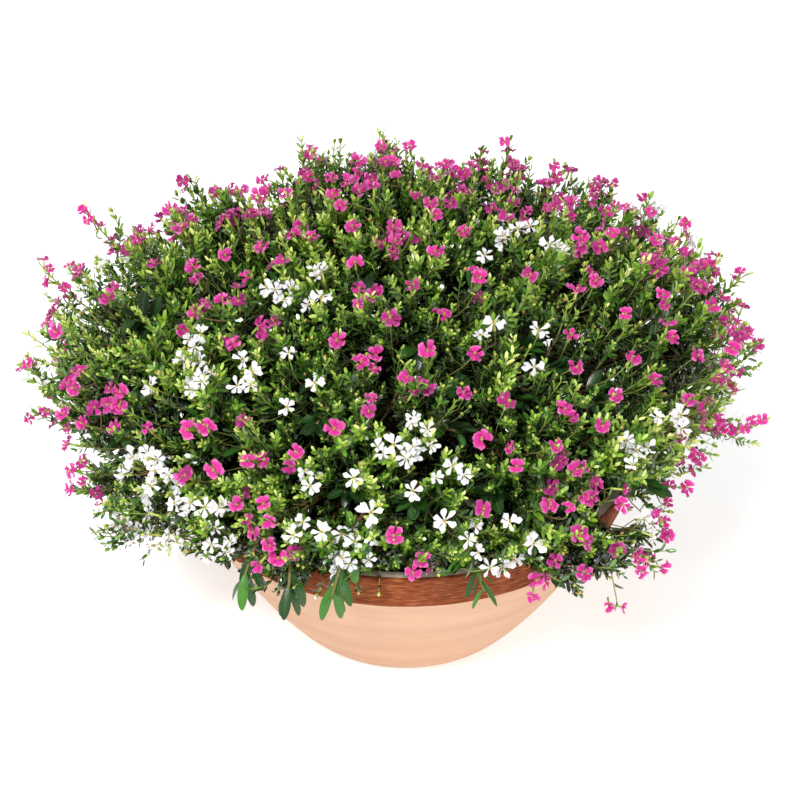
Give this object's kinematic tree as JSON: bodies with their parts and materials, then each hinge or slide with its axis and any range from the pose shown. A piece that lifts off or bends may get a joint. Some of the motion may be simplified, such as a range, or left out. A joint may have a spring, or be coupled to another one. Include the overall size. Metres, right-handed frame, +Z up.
{
  "type": "potted mexican heather",
  "caption": "Low round terracotta bowl planted with a wide mound of small-leaved mexican heather in magenta and white bloom.",
  "frame": {"origin": "centre of the bowl's foot, on the surface it stands on", "axes": "+Z up along the bowl's axis, -Y towards the side that the picture shows, +X to that viewer's right"},
  "size_m": [0.4809, 0.4303, 0.3106],
  "materials": {
    "terracotta": "unglazed clay, smooth peach body with a rough orange-brown band under the rim",
    "soil": "dark loose potting soil",
    "foliage": "small satin green leaves on woody stems",
    "magenta_petal": "soft matte magenta petals on green stalks",
    "white_petal": "soft matte white petals on green stalks"
  },
  "bodies": {
    "root": {"bowl": "terracotta", "magenta_spray_01": "magenta_petal", "magenta_spray_02": "magenta_petal", "magenta_spray_03": "magenta_petal", "magenta_spray_04": "magenta_petal", "magenta_spray_05": "magenta_petal", "magenta_spray_06": "magenta_petal", "magenta_spray_07": "magenta_petal", "magenta_spray_08": "magenta_petal", "magenta_spray_09": "magenta_petal", "magenta_spray_10": "magenta_petal", "magenta_spray_11": "magenta_petal", "magenta_spray_12": "magenta_petal", "magenta_spray_13": "magenta_petal", "magenta_spray_14": "magenta_petal", "magenta_spray_15": "magenta_petal", "magenta_spray_16": "magenta_petal", "magenta_spray_17": "magenta_petal", "magenta_spray_18": "magenta_petal", "magenta_spray_19": "magenta_petal", "magenta_spray_20": "magenta_petal", "magenta_spray_21": "magenta_petal", "magenta_spray_22": "magenta_petal", "magenta_spray_23": "magenta_petal", "magenta_spray_24": "magenta_petal", "magenta_spray_25": "magenta_petal", "magenta_spray_26": "magenta_petal", "magenta_spray_27": "magenta_petal", "magenta_spray_28": "magenta_petal", "magenta_spray_29": "magenta_petal", "magenta_spray_30": "magenta_petal", "magenta_spray_31": "magenta_petal", "magenta_spray_32": "magenta_petal", "magenta_spray_33": "magenta_petal", "magenta_spray_34": "magenta_petal", "magenta_spray_35": "magenta_petal", "plant_back_left": "foliage", "plant_back_right": "foliage", "plant_front_left": "foliage", "plant_front_right": "foliage", "plant_left": "foliage", "plant_middle": "foliage", "plant_right": "foliage", "soil": "soil", "white_spray_01": "white_petal", "white_spray_02": "white_petal", "white_spray_03": "white_petal", "white_spray_04": "white_petal", "white_spray_05": "white_petal", "white_spray_06": "white_petal", "white_spray_07": "white_petal", "white_spray_08": "white_petal", "white_spray_09": "white_petal", "white_spray_10": "white_petal", "white_spray_11": "white_petal", "white_spray_12": "white_petal", "white_spray_13": "white_petal", "white_spray_14": "white_petal", "white_spray_15": "white_petal"}
  },
  "joints": []
}
